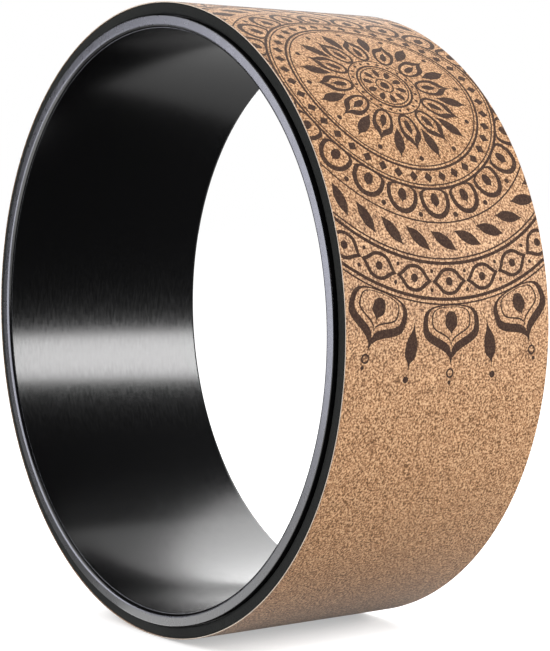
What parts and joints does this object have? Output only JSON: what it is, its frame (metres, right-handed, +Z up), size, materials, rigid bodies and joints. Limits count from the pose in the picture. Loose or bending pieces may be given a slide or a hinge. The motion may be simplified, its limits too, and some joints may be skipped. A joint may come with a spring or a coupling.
{
  "type": "yoga wheel",
  "caption": "Upright yoga wheel: a rigid plastic ring padded with foam and faced with decorated cork, rolled under the back or held to support stretches.",
  "frame": {"origin": "centre of the wheel, on its axis and midway between its two ends", "axes": "+Y along the wheel's axis from its front rim to its back rim, +Z up as it stands on its tread, +X level and across the axis"},
  "size_m": [0.33, 0.13, 0.33],
  "materials": {
    "core_plastic": "satin black extruded ABS",
    "foam": "charcoal closed-cell foam with cut edges",
    "glue": "dried dark contact glue",
    "cork": "sanded agglomerated cork with a dark brown ornament"
  },
  "bodies": {
    "root": {"core_tube": "core_plastic", "tube_glue_film": "glue", "foam_pad": "foam", "cork_glue_film": "glue", "cork_cover": "cork"}
  },
  "joints": []
}
